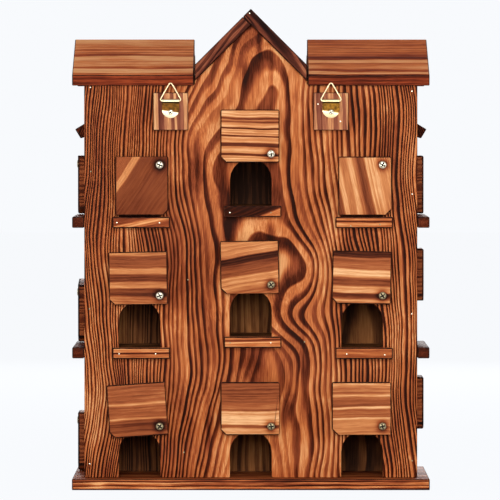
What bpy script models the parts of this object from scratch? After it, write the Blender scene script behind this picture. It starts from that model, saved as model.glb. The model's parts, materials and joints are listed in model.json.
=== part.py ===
"""Multi-chamber birdhouse of torched pine boards.

Nine chambers open through the back panel and three through each side wall.
Each opening has a plank cover that turns on one screw and stops on the ledge below it.
Metres, +Z up, origin in the middle of the base's underside, -Y towards the back panel.
"""
import math

import bmesh
import bpy

MM = 0.001

# Boards and clearances
BOARD = 12 * MM
GAP = 0.3 * MM
ARRIS = 0.8 * MM

# Body and base
BODY_WIDTH = 362 * MM
BODY_DEPTH = 210 * MM
WALL_HEIGHT = 428 * MM
BASE_SIDE_OVERHANG = 13 * MM
BASE_END_OVERHANG = 25 * MM

# Centre gable roof, ridge along Y
GABLE_HALF_WIDTH = 61 * MM
GABLE_PITCH = math.radians(45)
GABLE_SPRING = 4 * MM
GABLE_OVERHANG = 10 * MM

# Wing roofs, ridge along X
WING_PITCH = math.radians(17)
WING_EAVE_OVERHANG = 10 * MM
WING_SIDE_OVERHANG = 13 * MM
ROOF_JOINT = 1 * MM

# Openings and rows
COLUMN_PITCH = 121 * MM
ROW_PITCH = 142 * MM
CENTRE_RAISE = 12 * MM
HOLE_WIDTH = 45 * MM
HOLE_HEIGHT = 51 * MM
ARCH_STEPS = 10
SIDE_HOLE_FROM_FRONT = 49 * MM
SIDE_ROOM_DEPTH = 75 * MM

# Ledges under the openings
LEDGE_LENGTH = 62.5 * MM
LEDGE_DEPTH = 13 * MM
LEDGE_OFFSET = 2 * MM

# Covers and their pivot screws
COVER_WIDTH = 57.5 * MM
COVER_HEIGHT = 64 * MM
COVER_THICKNESS = 10 * MM
COVER_CHAMFER = 6 * MM
PIVOT_FROM_SIDE = 9.5 * MM
PIVOT_FROM_TOP = 9 * MM
PIVOT_FROM_HOLE = 22 * MM
PIVOT_ABOVE_SILL = 56.5 * MM
SCREW_SHANK_RADIUS = 2 * MM
SCREW_HEAD_RADIUS = 4 * MM
SCREW_HEAD_HEIGHT = 2.4 * MM
SCREW_SIDES = 16

# Drip strips over the top side covers
AWNING_REACH = 13 * MM
AWNING_PITCH = math.radians(31)
AWNING_LENGTH = 70 * MM
AWNING_CLEARANCE = 19 * MM

# Hangers: a wood block, a folded brass plate and a wire triangle
BLOCK_WIDTH = 38 * MM
BLOCK_HEIGHT = 41 * MM
BLOCK_X = 87 * MM
BLOCK_BELOW_WALL_TOP = 9 * MM
PLATE_WIDTH = 19 * MM
PLATE_THICKNESS = 0.9 * MM
PLATE_DROP = 18.4 * MM
PLATE_FROM_BLOCK_TOP = 9.3 * MM
WIRE_RADIUS = 0.95 * MM
KNUCKLE_WALL = 0.95 * MM
RING_HALF_BASE = 12.3 * MM
RING_HEIGHT = 21.5 * MM
RING_BEND = 2 * MM
RING_LEAN = math.radians(7)

# Opening angle of each cover as it stands, 0 on its ledge
BACK_COVER_ANGLES = {
    ("left", "top"): 0, ("centre", "top"): 90, ("right", "top"): 0,
    ("left", "mid"): 89, ("centre", "mid"): 89, ("right", "mid"): 91,
    ("left", "low"): 86, ("centre", "low"): 90, ("right", "low"): 90,
}
SIDE_COVER_ANGLES = {
    ("left", "top"): 0, ("left", "mid"): 6, ("left", "low"): 0,
    ("right", "top"): 0, ("right", "mid"): 90, ("right", "low"): 90,
}

# Places worked out from the sizes above
HALF_WIDTH = BODY_WIDTH / 2
HALF_DEPTH = BODY_DEPTH / 2
BASE_TOP = BOARD
WALL_FOOT = BASE_TOP + GAP
WALL_TOP = BASE_TOP + WALL_HEIGHT
INNER_HALF_DEPTH = HALF_DEPTH - BOARD - GAP
ROWS = ("low", "mid", "top")
COLUMNS = ("left", "centre", "right")
SIDES = ("left", "right")
ROOF_UNDER = WALL_TOP + GAP
DIVIDER_INNER = GABLE_HALF_WIDTH + GAP
DIVIDER_OUTER = DIVIDER_INNER + BOARD
SIDE_HOLE_Y = HALF_DEPTH - SIDE_HOLE_FROM_FRONT
PARTITION_FAR = HALF_DEPTH - SIDE_ROOM_DEPTH
PARTITION_NEAR = PARTITION_FAR - BOARD
COVER_FACE = GAP + COVER_THICKNESS
BLOCK_TOP = WALL_TOP - BLOCK_BELOW_WALL_TOP
BLOCK_FACE = GAP + BOARD
PLATE_FACE = BLOCK_FACE + GAP
KNUCKLE_RADIUS = WIRE_RADIUS + GAP + KNUCKLE_WALL
KNUCKLE_OUT = PLATE_FACE + KNUCKLE_RADIUS
KNUCKLE_Z = BLOCK_TOP - PLATE_FROM_BLOCK_TOP

# Surface colours: torched pine, its paler covers, and brass and zinc fittings
PANEL_PINE = ((0.33, 0.16, 0.08), 0.62, 0.0)
BOARD_PINE = ((0.40, 0.20, 0.10), 0.60, 0.0)
COVER_PINE = ((0.55, 0.30, 0.16), 0.58, 0.0)
INSIDE_PINE = ((0.24, 0.13, 0.07), 0.75, 0.0)
BRASS = ((0.62, 0.47, 0.24), 0.32, 1.0)
ZINC = ((0.78, 0.76, 0.72), 0.30, 1.0)


def sill(row, column="left"):
    """Height of an opening's sill, which is its floor's top face."""
    raised = column == "centre" and row != "low"
    return BASE_TOP + ROWS.index(row) * ROW_PITCH + (CENTRE_RAISE if raised else 0)


def column_x(column):
    """Middle of a column of openings in the back panel."""
    return (COLUMNS.index(column) - 1) * COLUMN_PITCH


def outward(side):
    """Which way a side faces along X."""
    return 1 if side == "right" else -1


def wing_under(y):
    """Underside of the wing roofs at a given Y."""
    return ROOF_UNDER + (HALF_DEPTH - abs(y)) * math.tan(WING_PITCH)


def gable_under(x):
    """Underside of the centre roof at a given X."""
    return WALL_TOP + GABLE_SPRING + (GABLE_HALF_WIDTH - abs(x)) * math.tan(GABLE_PITCH)


def clear_scene():
    for obj in list(bpy.data.objects):
        bpy.data.objects.remove(obj, do_unlink=True)


def new_collection(name):
    collection = bpy.data.collections.new(name)
    bpy.context.scene.collection.children.link(collection)
    return collection


def paint(obj, finish):
    colour, roughness, metallic = finish
    material = bpy.data.materials.new(obj.name + "_finish")
    material.use_nodes = True
    shader = material.node_tree.nodes["Principled BSDF"]
    shader.inputs["Base Color"].default_value = (*colour, 1)
    shader.inputs["Roughness"].default_value = roughness
    shader.inputs["Metallic"].default_value = metallic
    obj.data.materials.clear()
    obj.data.materials.append(material)


def link(obj, collection):
    for old in list(obj.users_collection):
        old.objects.unlink(obj)
    collection.objects.link(obj)


def ease_edges(obj, width=ARRIS):
    bevel = obj.modifiers.new("eased_edges", "BEVEL")
    bevel.width = width
    bevel.segments = 1
    bevel.limit_method = "ANGLE"
    bevel.angle_limit = math.radians(40)


def box(name, low, high, finish, collection):
    """A board given by two opposite corners, with eased edges."""
    centre = [(a + b) / 2 for a, b in zip(low, high)]
    bpy.ops.mesh.primitive_cube_add(size=1, location=centre)
    obj = bpy.context.object
    obj.name = name
    obj.scale = [b - a for a, b in zip(low, high)]
    bpy.ops.object.transform_apply(location=False, rotation=False, scale=True)
    link(obj, collection)
    paint(obj, finish)
    ease_edges(obj)
    return obj


def closed_mesh(obj):
    """Turn a curve or a modified mesh into a plain mesh with welded caps."""
    evaluated = obj.evaluated_get(bpy.context.evaluated_depsgraph_get())
    mesh = bpy.data.meshes.new_from_object(evaluated)
    form = bmesh.new()
    form.from_mesh(mesh)
    bmesh.ops.remove_doubles(form, verts=form.verts, dist=0.00001)
    bmesh.ops.recalc_face_normals(form, faces=form.faces)
    form.to_mesh(mesh)
    form.free()
    return mesh


def prism(name, outlines, thickness, finish, collection):
    """A flat outline, with any holes as further outlines, extruded along local Z."""
    curve = bpy.data.curves.new(name, "CURVE")
    curve.dimensions = "2D"
    curve.fill_mode = "BOTH"
    curve.extrude = thickness / 2
    for outline in outlines:
        spline = curve.splines.new("POLY")
        spline.points.add(len(outline) - 1)
        for point, (x, y) in zip(spline.points, outline):
            point.co = (x, y, 0, 1)
        spline.use_cyclic_u = True
    guide = bpy.data.objects.new(name + "_outline", curve)
    collection.objects.link(guide)
    bpy.context.view_layer.update()
    obj = bpy.data.objects.new(name, closed_mesh(guide))
    bpy.data.objects.remove(guide)
    collection.objects.link(obj)
    paint(obj, finish)
    return obj


def place(obj, parent, x, y, z, turn=0.0):
    """Set an object in its parent's frame, turned about the parent's local Z."""
    obj.parent = parent
    obj.location = (x, y, z)
    obj.rotation_euler = (0, 0, turn)


def frame_empty(name, location, heading, collection):
    """An empty whose local X runs along a wall, Y goes up and Z points out of the wall."""
    empty = bpy.data.objects.new(name, None)
    empty.location = location
    empty.rotation_euler = (math.radians(90), 0, heading)
    collection.objects.link(empty)
    return empty


def arch(centre_x, sill_y):
    """Outline of an opening: straight sides under a half-round head."""
    radius = HOLE_WIDTH / 2
    spring = sill_y + HOLE_HEIGHT - radius
    points = [(centre_x - radius, sill_y), (centre_x + radius, sill_y)]
    for step in range(ARCH_STEPS + 1):
        angle = math.pi * step / ARCH_STEPS
        points.append((centre_x + radius * math.cos(angle), spring + radius * math.sin(angle)))
    return points


def circle(radius, sides):
    turns = [2 * math.pi * side / sides for side in range(sides)]
    return [(radius * math.cos(turn), radius * math.sin(turn)) for turn in turns]


def pivot_screw(name, parent, x, y, tools):
    """A pan-head screw standing out of a wall, turned from its profile."""
    head_foot = COVER_FACE + GAP
    head_top = head_foot + SCREW_HEAD_HEIGHT
    profile = [
        (0, head_top), (0.55 * SCREW_HEAD_RADIUS, head_top),
        (SCREW_HEAD_RADIUS, head_foot + 0.45 * SCREW_HEAD_HEIGHT), (SCREW_HEAD_RADIUS, head_foot),
        (SCREW_SHANK_RADIUS, head_foot), (SCREW_SHANK_RADIUS, -BOARD / 2), (0, -BOARD / 2),
    ]
    mesh = bpy.data.meshes.new(name)
    edges = [(i, i + 1) for i in range(len(profile) - 1)]
    mesh.from_pydata([(radius, 0, height) for radius, height in profile], edges, [])
    obj = bpy.data.objects.new(name, mesh)
    tools.objects.link(obj)
    turn = obj.modifiers.new("turned", "SCREW")
    turn.steps = turn.render_steps = SCREW_SIDES
    turn.use_merge_vertices = True
    turn.merge_threshold = 0.00001
    turn.use_normal_calculate = True
    place(obj, parent, x, y, 0)
    obj.hide_render = True
    obj.display_type = "WIRE"
    return obj


def fuse(obj, tools):
    """Join the screws of one wall into the board that they are driven into."""
    union = obj.modifiers.new("screws", "BOOLEAN")
    union.operation = "UNION"
    union.solver = "EXACT"
    union.operand_type = "COLLECTION"
    union.collection = tools


def gable_wall_outline():
    """Outline of the back and front panels: level wings with a gable between them."""
    shoulder = gable_under(GABLE_HALF_WIDTH) - GAP
    return [
        (-HALF_WIDTH, WALL_FOOT), (HALF_WIDTH, WALL_FOOT), (HALF_WIDTH, WALL_TOP),
        (GABLE_HALF_WIDTH, WALL_TOP), (GABLE_HALF_WIDTH, shoulder), (0, gable_under(0) - GAP),
        (-GABLE_HALF_WIDTH, shoulder), (-GABLE_HALF_WIDTH, WALL_TOP), (-HALF_WIDTH, WALL_TOP),
    ]


def side_wall_outline():
    """Outline of a side wall or divider: a low gable under the wing roof."""
    top = wing_under(INNER_HALF_DEPTH) - GAP
    return [
        (-INNER_HALF_DEPTH, WALL_FOOT), (INNER_HALF_DEPTH, WALL_FOOT),
        (INNER_HALF_DEPTH, top), (0, wing_under(0) - GAP), (-INNER_HALF_DEPTH, top),
    ]


def cover_outline():
    """Outline of a closed cover about its pivot, with its lower screw-side corner cut off."""
    left = PIVOT_FROM_SIDE - COVER_WIDTH
    bottom = PIVOT_FROM_TOP - COVER_HEIGHT
    return [
        (left, bottom), (PIVOT_FROM_SIDE - COVER_CHAMFER, bottom),
        (PIVOT_FROM_SIDE, bottom + COVER_CHAMFER), (PIVOT_FROM_SIDE, PIVOT_FROM_TOP),
        (left, PIVOT_FROM_TOP),
    ]


def cover(name, parent, hole_x, row_sill, angle, collection):
    """A plank that hangs on its screw and turns clockwise, seen from outside, to open."""
    clearance = circle(SCREW_SHANK_RADIUS + GAP, SCREW_SIDES)
    obj = prism(name, [cover_outline(), clearance], COVER_THICKNESS, COVER_PINE, collection)
    place(obj, parent, hole_x + PIVOT_FROM_HOLE, row_sill + PIVOT_ABOVE_SILL,
          GAP + COVER_THICKNESS / 2, -math.radians(angle))
    return obj


def back_face(parent, parts, tools):
    """The back panel with its nine openings, their covers, screws and ledges."""
    holes = []
    for column in COLUMNS:
        hole_x = column_x(column)
        for row in ROWS:
            holes.append(arch(hole_x, sill(row, column)))
            label = f"back_{column}_{row}"
            pivot_z = sill(row, column) + PIVOT_ABOVE_SILL
            pivot_screw("screw_" + label, parent, hole_x + PIVOT_FROM_HOLE, pivot_z, tools)
            cover("cover_" + label, parent, hole_x, sill(row, column),
                  BACK_COVER_ANGLES[column, row], parts)
            if row != "low":
                back_ledge("ledge_" + label, hole_x, sill(row, column), parts)
    return holes


def back_ledge(name, hole_x, top, parts):
    centre = hole_x + LEDGE_OFFSET
    face = -HALF_DEPTH - GAP
    low = (centre - LEDGE_LENGTH / 2, face - LEDGE_DEPTH, top - BOARD)
    high = (centre + LEDGE_LENGTH / 2, face, top)
    box(name, low, high, BOARD_PINE, parts)


def panels(parts, back, tools):
    holes = back_face(back, parts, tools)
    outline = gable_wall_outline()
    back_panel = prism("back_panel", [notched(outline, holes)] + open_holes(holes), BOARD,
                       PANEL_PINE, parts)
    place(back_panel, back, 0, 0, -BOARD / 2)
    fuse(back_panel, tools)
    front_panel = prism("front_panel", [outline], BOARD, PANEL_PINE, parts)
    front_panel.location = (0, HALF_DEPTH - BOARD / 2, 0)
    front_panel.rotation_euler = (math.radians(90), 0, 0)


def open_holes(holes):
    """The openings that lie wholly inside the panel."""
    return [hole for hole in holes if hole[0][1] > WALL_FOOT + BOARD]


def notched(outline, holes):
    """The panel's outline with the lowest openings cut up from its foot."""
    feet = sorted((hole for hole in holes if hole[0][1] <= WALL_FOOT + BOARD), key=lambda h: h[0][0])
    notches = []
    for hole in feet:
        left, right = hole[0][0], hole[1][0]
        notches.append((left, WALL_FOOT))
        notches.extend(reversed(hole[2:]))
        notches.append((right, WALL_FOOT))
    return [outline[0]] + notches + outline[1:]


def side_wall(side, parent, parts, tools):
    """A side wall with three openings, its covers, screws, ledges and drip strip."""
    sign = outward(side)
    hole_x = sign * SIDE_HOLE_Y
    holes = []
    for row in ROWS:
        holes.append(arch(hole_x, sill(row)))
        label = f"side_{side}_{row}"
        pivot_z = sill(row) + PIVOT_ABOVE_SILL
        pivot_screw("screw_" + label, parent, hole_x + PIVOT_FROM_HOLE, pivot_z, tools)
        cover("cover_" + label, parent, hole_x, sill(row), SIDE_COVER_ANGLES[side, row], parts)
        if row != "low":
            near, far = sorted((sign * (HALF_WIDTH + GAP), sign * (HALF_WIDTH + GAP + LEDGE_DEPTH)))
            low = (near, -HALF_DEPTH, sill(row) - BOARD)
            high = (far, HALF_DEPTH, sill(row))
            box("ledge_" + label, low, high, BOARD_PINE, parts)
    wall = prism("side_wall_" + side, [notched(side_wall_outline(), holes)] + open_holes(holes),
                 BOARD, PANEL_PINE, parts)
    place(wall, parent, 0, 0, -BOARD / 2)
    fuse(wall, tools)
    awning(side, parts)


def awning(side, parts):
    """A strip that slopes down and outwards over the top side cover, cut flush to the wall."""
    slope = math.tan(AWNING_PITCH)
    root = HALF_WIDTH + GAP
    tip = HALF_WIDTH + GAP + AWNING_REACH
    heel = tip - BOARD * math.sin(AWNING_PITCH)
    cover_top = sill("top") + PIVOT_ABOVE_SILL + PIVOT_FROM_TOP
    heel_z = cover_top + AWNING_CLEARANCE
    tip_z = heel_z + BOARD * math.cos(AWNING_PITCH)
    sign = outward(side)
    outline = [
        (sign * root, heel_z + (heel - root) * slope), (sign * heel, heel_z),
        (sign * tip, tip_z), (sign * root, tip_z + AWNING_REACH * slope),
    ]
    obj = prism("awning_" + side, [outline], AWNING_LENGTH, BOARD_PINE, parts)
    obj.location = (0, SIDE_HOLE_Y, 0)
    obj.rotation_euler = (math.radians(90), 0, 0)


def base_board(parts):
    half_x = HALF_WIDTH + BASE_SIDE_OVERHANG
    half_y = HALF_DEPTH + BASE_END_OVERHANG
    box("base_board", (-half_x, -half_y, 0), (half_x, half_y, BASE_TOP), BOARD_PINE, parts)


def centre_roof(parts):
    """Two boards over the centre gable; the right one laps over the left one's end."""
    rise = math.tan(GABLE_PITCH)
    under = gable_under(0)
    over = under + BOARD / math.cos(GABLE_PITCH)
    foot = GABLE_HALF_WIDTH
    lap_x = BOARD / (2 * math.sin(GABLE_PITCH))
    lap_z = over - lap_x * rise
    seam = GAP / math.cos(GABLE_PITCH)
    right = [(foot, under - foot * rise), (foot, over - foot * rise), (0, over), (-lap_x, lap_z)]
    seam_shift = seam / (2 * rise)
    left = [
        (-foot, under - foot * rise), (-seam_shift, under - seam / 2),
        (-lap_x - seam_shift, lap_z - seam / 2), (-foot, over - foot * rise),
    ]
    length = BODY_DEPTH + 2 * GABLE_OVERHANG
    for name, outline in (("gable_roof_right", right), ("gable_roof_left", left)):
        obj = prism(name, [outline], length, BOARD_PINE, parts)
        obj.rotation_euler = (math.radians(90), 0, 0)


def wing_roof_outlines():
    """Sections in YZ: the near board laps over the end of the far board at the ridge."""
    rise = math.tan(WING_PITCH)
    sin, cos = math.sin(WING_PITCH), math.cos(WING_PITCH)
    eave = HALF_DEPTH + WING_EAVE_OVERHANG
    eave_top = ROOF_UNDER + BOARD / cos - WING_EAVE_OVERHANG * rise
    lap_y = BOARD / (2 * sin)
    lap_z = eave_top + (eave - lap_y) * rise
    seam_y = lap_y + GAP / sin
    seam_z = lap_z - GAP / cos
    near = [
        (lap_y, lap_z), (-eave + BOARD * sin, eave_top - BOARD * cos),
        (-eave, eave_top), (lap_y - BOARD * sin, lap_z + BOARD * cos),
    ]
    far = [
        (eave, eave_top), (eave - BOARD * sin, eave_top - BOARD * cos),
        (seam_y - BOARD * sin, seam_z - BOARD * cos), (seam_y, seam_z),
    ]
    return {"near": near, "far": far}


def wing_roofs(parts):
    inner = GABLE_HALF_WIDTH + ROOF_JOINT
    outer = HALF_WIDTH + WING_SIDE_OVERHANG
    for side in SIDES:
        for slope, outline in wing_roof_outlines().items():
            obj = prism(f"wing_roof_{side}_{slope}", [outline], outer - inner, BOARD_PINE, parts)
            obj.location = (outward(side) * (inner + outer) / 2, 0, 0)
            obj.rotation_euler = (math.radians(90), 0, math.radians(90))


def dividers(parts):
    for side in SIDES:
        obj = prism("divider_" + side, [side_wall_outline()], BOARD, INSIDE_PINE, parts)
        obj.location = (outward(side) * (DIVIDER_INNER + DIVIDER_OUTER) / 2, 0, 0)
        obj.rotation_euler = (math.radians(90), 0, math.radians(90))


def inner_box(name, x_range, y_range, z_range, parts):
    low, high = zip(x_range, y_range, z_range)
    box(name, low, high, INSIDE_PINE, parts)


def chambers(parts):
    """Partitions across the three columns and the floors of the upper rooms."""
    centre = (-DIVIDER_INNER + GAP, DIVIDER_INNER - GAP)
    wing = (DIVIDER_OUTER + GAP, HALF_WIDTH - BOARD - GAP)
    across = (PARTITION_NEAR, PARTITION_FAR)
    back = (-INNER_HALF_DEPTH, PARTITION_NEAR - GAP)
    front = (PARTITION_FAR + GAP, INNER_HALF_DEPTH)
    columns = {"left": (-wing[1], -wing[0]), "centre": centre, "right": wing}
    shoulder = gable_under(centre[1]) - GAP
    outline = [
        (centre[0], WALL_FOOT), (centre[1], WALL_FOOT), (centre[1], shoulder),
        (0, gable_under(0) - GAP), (centre[0], shoulder),
    ]
    middle = prism("partition_centre", [outline], BOARD, INSIDE_PINE, parts)
    middle.location = (0, (PARTITION_NEAR + PARTITION_FAR) / 2, 0)
    middle.rotation_euler = (math.radians(90), 0, 0)
    wing_height = (WALL_FOOT, wing_under(PARTITION_FAR) - GAP)
    for side in SIDES:
        inner_box("partition_" + side, columns[side], across, wing_height, parts)
    for row in ("mid", "top"):
        for column, width in columns.items():
            level = (sill(row, column) - BOARD, sill(row, column))
            inner_box(f"floor_back_{column}_{row}", width, back, level, parts)
        for side in SIDES:
            level = (sill(row) - BOARD, sill(row))
            inner_box(f"floor_front_{side}_{row}", columns[side], front, level, parts)


def hanger_plate(name, parent, x, parts, tools):
    """A brass strap with a round foot, folded over at the top into a knuckle."""
    half = PLATE_WIDTH / 2
    round_y = half - PLATE_DROP
    outline = [(half, 0), (-half, 0)]
    for step in range(ARCH_STEPS + 1):
        angle = math.pi + math.pi * step / ARCH_STEPS
        outline.append((half * math.cos(angle), round_y + half * math.sin(angle)))
    plate = prism(name, [outline], PLATE_THICKNESS, BRASS, parts)
    place(plate, parent, x, KNUCKLE_Z, PLATE_FACE + PLATE_THICKNESS / 2)
    bore = circle(WIRE_RADIUS + GAP, SCREW_SIDES)
    knuckle = prism(name + "_knuckle", [circle(KNUCKLE_RADIUS, SCREW_SIDES), bore], PLATE_WIDTH,
                    BRASS, tools)
    knuckle.parent = parent
    knuckle.location = (x, KNUCKLE_Z, KNUCKLE_OUT)
    knuckle.rotation_euler = (0, math.radians(90), 0)
    knuckle.hide_render = True
    knuckle.display_type = "WIRE"
    union = plate.modifiers.new("knuckle", "BOOLEAN")
    union.operation = "UNION"
    union.solver = "EXACT"
    union.object = knuckle


def rounded_triangle(half_base, height, radius, steps=5):
    """Centreline of the wire: a triangle standing on its base, with bent corners."""
    corners = [(-half_base, 0), (half_base, 0), (0, height)]
    points = []
    for index, corner in enumerate(corners):
        before, after = corners[index - 1], corners[(index + 1) % 3]
        to_before = unit(before[0] - corner[0], before[1] - corner[1])
        to_after = unit(after[0] - corner[0], after[1] - corner[1])
        half_angle = math.acos(to_before[0] * to_after[0] + to_before[1] * to_after[1]) / 2
        middle = unit(to_before[0] + to_after[0], to_before[1] + to_after[1])
        reach = radius / math.sin(half_angle)
        centre = (corner[0] + middle[0] * reach, corner[1] + middle[1] * reach)
        sweep = math.pi - 2 * half_angle
        away = math.atan2(-middle[1], -middle[0])
        for step in range(steps + 1):
            angle = away - sweep / 2 + sweep * step / steps
            points.append((centre[0] + radius * math.cos(angle), centre[1] + radius * math.sin(angle)))
    return points


def unit(x, y):
    length = math.hypot(x, y)
    return (x / length, y / length)


def hanger_ring(name, parent, x, parts):
    """The wire triangle, standing up and leaning back against its block."""
    curve = bpy.data.curves.new(name, "CURVE")
    curve.dimensions = "3D"
    curve.bevel_depth = WIRE_RADIUS
    curve.bevel_resolution = 2
    points = rounded_triangle(RING_HALF_BASE, RING_HEIGHT, RING_BEND)
    spline = curve.splines.new("POLY")
    spline.points.add(len(points) - 1)
    for point, (across, up) in zip(spline.points, points):
        point.co = (across, up, 0, 1)
    spline.use_cyclic_u = True
    obj = bpy.data.objects.new(name, curve)
    parts.objects.link(obj)
    paint(obj, ZINC)
    obj.parent = parent
    obj.location = (x, KNUCKLE_Z, KNUCKLE_OUT)
    obj.rotation_euler = (-RING_LEAN, 0, 0)


def hangers(parent, parts, tools):
    face = -HALF_DEPTH - GAP
    for side in SIDES:
        x = outward(side) * BLOCK_X
        low = (x - BLOCK_WIDTH / 2, face - BOARD, BLOCK_TOP - BLOCK_HEIGHT)
        high = (x + BLOCK_WIDTH / 2, face, BLOCK_TOP)
        box("hanger_block_" + side, low, high, COVER_PINE, parts)
        hanger_plate("hanger_plate_" + side, parent, x, parts, tools)
        hanger_ring("hanger_ring_" + side, parent, x, parts)


def build():
    clear_scene()
    parts = new_collection("birdhouse")
    back_tools = new_collection("back_screws")
    left_tools = new_collection("left_screws")
    right_tools = new_collection("right_screws")
    knuckles = new_collection("hanger_knuckles")
    back = frame_empty("back_face", (0, -HALF_DEPTH, 0), 0, parts)
    left = frame_empty("left_face", (-HALF_WIDTH, 0, 0), math.radians(-90), parts)
    right = frame_empty("right_face", (HALF_WIDTH, 0, 0), math.radians(90), parts)
    base_board(parts)
    panels(parts, back, back_tools)
    side_wall("left", left, parts, left_tools)
    side_wall("right", right, parts, right_tools)
    dividers(parts)
    chambers(parts)
    wing_roofs(parts)
    centre_roof(parts)
    hangers(back, parts, knuckles)


build()
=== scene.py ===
# %% [markdown]
# # A torched pine birdhouse
#
# The real object is a small block of flats for birds, nailed together from 12 mm pine boards. Each board
# was scorched with a gas torch and brushed, so the hard winter wood of every growth ring stands out dark
# and the soft summer wood stays tan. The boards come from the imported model, in metres, and this script
# dresses them: eased and charred edges, solid wood grain, pan-head screws, brads and brass hangers.

# %% Load the frame
import json
import math

import bpy
from mathutils import Euler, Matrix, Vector

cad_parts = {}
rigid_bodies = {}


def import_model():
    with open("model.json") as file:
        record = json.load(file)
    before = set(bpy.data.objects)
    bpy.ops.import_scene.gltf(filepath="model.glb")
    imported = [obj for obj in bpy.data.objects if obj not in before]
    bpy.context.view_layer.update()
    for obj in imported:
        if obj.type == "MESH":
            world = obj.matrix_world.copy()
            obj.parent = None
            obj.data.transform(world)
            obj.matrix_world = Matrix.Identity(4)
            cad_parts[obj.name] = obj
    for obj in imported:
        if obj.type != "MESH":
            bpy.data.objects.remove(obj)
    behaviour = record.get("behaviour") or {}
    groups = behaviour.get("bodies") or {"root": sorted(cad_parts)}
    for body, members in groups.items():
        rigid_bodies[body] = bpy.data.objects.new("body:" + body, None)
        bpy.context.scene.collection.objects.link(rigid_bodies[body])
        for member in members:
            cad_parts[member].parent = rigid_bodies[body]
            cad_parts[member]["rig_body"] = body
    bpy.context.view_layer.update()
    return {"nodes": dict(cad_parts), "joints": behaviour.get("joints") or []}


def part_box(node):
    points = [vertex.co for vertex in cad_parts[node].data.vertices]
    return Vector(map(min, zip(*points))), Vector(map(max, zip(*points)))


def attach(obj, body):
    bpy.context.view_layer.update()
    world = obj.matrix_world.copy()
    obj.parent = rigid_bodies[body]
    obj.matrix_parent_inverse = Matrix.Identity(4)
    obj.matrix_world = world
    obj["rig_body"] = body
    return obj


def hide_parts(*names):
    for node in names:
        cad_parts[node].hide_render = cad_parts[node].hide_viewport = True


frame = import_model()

WALL_FACE = 0.105  # m from the middle of the house to the outside of the back panel
SIDE_FACE = 0.181  # m from the middle to the outside of a side wall

joints = {joint["child"]: joint for joint in frame["joints"]}
print("boards and fittings in the frame:", len(frame["nodes"]))

# %% [markdown]
# ## The camera
#
# The photograph looks at the back of the house through a long lens. Upright edges stay upright and the
# eaves barely shrink with depth, so the camera stands about seven metres away, at the height of the
# hangers, and looks down by little more than a degree.

# %% Camera
scene = bpy.context.scene
camera_data = bpy.data.cameras.new("long_lens")
camera_data.lens = 477
camera_data.sensor_width = 36
camera_data.clip_start = 0.1
camera_data.clip_end = 200
camera = bpy.data.objects.new("camera", camera_data)
camera.location = (-0.0009, -7.305, 0.412)
camera.rotation_euler = (math.radians(90 - 1.21), 0, 0)
scene.collection.objects.link(camera)
scene.camera = camera
scene.view_settings.view_transform = "Standard"
print("camera distance in m:", round(-camera.location.y - WALL_FACE, 2))

# %% [markdown]
# ## Small helpers for materials
#
# Colours are written as sRGB hex codes, the way a paint chart gives them, and one function turns them
# into the linear numbers that the renderer works with. Another adds a node, sets it up and links it, so
# that a material reads as a list of steps. The last two start a material and give places in mm.


# %% Colour and node helpers
def linear(code):
    """An sRGB hex code such as "C98548" as a linear colour with alpha."""
    values = [int(code[i:i + 2], 16) / 255 for i in (0, 2, 4)]
    return [v / 12.92 if v <= 0.04045 else ((v + 0.055) / 1.055) ** 2.4 for v in values] + [1]


def add(tree, kind, settings=None, inputs=None):
    """A new node of a kind, with its settings, and its inputs linked or given a value."""
    node = tree.nodes.new("ShaderNode" + kind)
    for name, value in (settings or {}).items():
        setattr(node, name, value)
    for socket, value in (inputs or {}).items():
        if isinstance(value, bpy.types.NodeSocket):
            tree.links.new(value, node.inputs[socket])
        else:
            node.inputs[socket].default_value = value
    return node


def empty_material(name):
    """A new material without nodes, and its node tree."""
    material = bpy.data.materials.new(name)
    material.use_nodes = True
    material.node_tree.nodes.clear()
    return material, material.node_tree


def place_in_mm(tree):
    """Where a point lies on the object, in mm."""
    place = add(tree, "TexCoord").outputs["Object"]
    return add(tree, "Mapping", inputs={"Vector": place, "Scale": (1000, 1000, 1000)}).outputs[0]


# %% [markdown]
# ## Stage and light
#
# The photograph is a studio shot on white: one big soft light a little above the camera, with only a
# weak fill from the sides and the room, so undersides and rooms fall off to near black. A fourth lamp
# lights the front. By Light Path only the camera and glossy reflections see the floor and the world as
# a very pale blue. What else reaches the wood comes from matt paper and a dim white room.

# %% Floor, world and lamp
BACKGROUND = "F8FAFD"
floor_size = 30

bpy.ops.object.select_all(action="DESELECT")
bpy.ops.mesh.primitive_plane_add(size=floor_size, location=(0, 0, 0))
floor = bpy.context.object
floor.name = "studio_floor"
floor_paper, tree = empty_material("white_floor_paper")
path = add(tree, "LightPath")
paper = add(tree, "BsdfDiffuse", inputs={"Color": linear(BACKGROUND)})
glow = add(tree, "Emission", inputs={"Color": linear(BACKGROUND), "Strength": 1.03})
seen = add(tree, "MixShader", inputs={0: 0.95, 1: paper.outputs[0], 2: glow.outputs[0]})
mirrored = add(tree, "Math", {"operation": "MAXIMUM"},
               {0: path.outputs["Is Camera Ray"], 1: path.outputs["Is Glossy Ray"]})
cut = add(tree, "MixShader", inputs={0: mirrored.outputs[0], 1: paper.outputs[0], 2: seen.outputs[0]})
add(tree, "OutputMaterial", inputs={"Surface": cut.outputs[0]})
floor.data.materials.append(floor_paper)

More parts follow.
